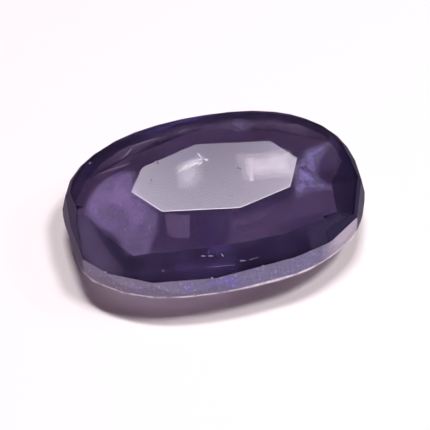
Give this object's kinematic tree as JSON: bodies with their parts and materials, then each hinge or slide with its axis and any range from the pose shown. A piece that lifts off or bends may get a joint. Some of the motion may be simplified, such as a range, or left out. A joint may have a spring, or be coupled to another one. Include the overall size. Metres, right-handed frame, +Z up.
{
  "type": "faceted iolite gemstone",
  "caption": "Oval mixed-cut violet-blue gemstone with an octagonal table, a frosted girdle and a flat base facet that it rests on.",
  "frame": {"origin": "under the middle of the stone's outline, at the level of the flat base facet that it rests on", "axes": "+X along the oval's long axis, +Y across it, +Z up through the table"},
  "size_m": [0.0124, 0.009, 0.0036],
  "materials": {
    "iolite": "clear violet-blue crystal, polished on its facets and ground to a frost on its girdle, with cloudy veils inside"
  },
  "bodies": {
    "root": {"iolite_gemstone": "iolite"}
  },
  "joints": []
}
